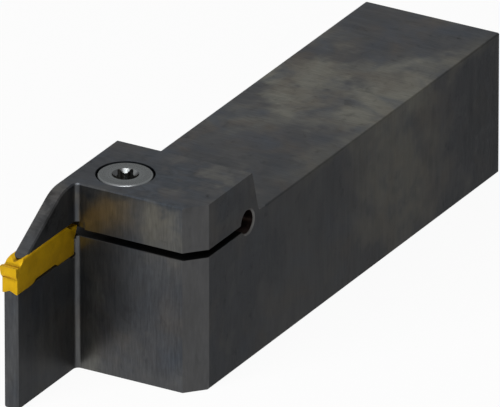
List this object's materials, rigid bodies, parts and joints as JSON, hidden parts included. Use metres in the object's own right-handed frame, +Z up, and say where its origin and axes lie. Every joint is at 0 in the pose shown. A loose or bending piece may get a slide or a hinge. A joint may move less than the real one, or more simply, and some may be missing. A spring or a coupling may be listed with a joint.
{
  "type": "grooving tool holder",
  "caption": "Square-shank lathe tool holder for grooving: narrow support blade, slitted clamping jaw pulled down by a screw, and a coated double-ended insert.",
  "frame": {"origin": "centre of the flat seat under the clamped length of the shank", "axes": "+Y along the shank to its rear end, the cutting end points along -Y, +Z up from the seat to the cutting edge, +X to the side away from the support blade"},
  "size_m": [0.0327, 0.15, 0.0415],
  "materials": {
    "black_oxide_steel": "black oxide over milled and ground steel, faint blue and brown mottling",
    "screw_steel": "satin, phosphated",
    "coated_carbide": "gold nitride coating, satin"
  },
  "bodies": {
    "holder": {"tool_body": "black_oxide_steel", "cutting_insert": "coated_carbide"},
    "screw": {"clamp_screw": "screw_steel"}
  },
  "joints": [
    {"name": "clamp_screw_turn", "type": "hinge", "parent": "holder", "child": "screw", "pos_m": [-0.0062, -0.0664, 0.0415], "axis": [0, 0, 1], "range_deg": [0, 360]}
  ]
}
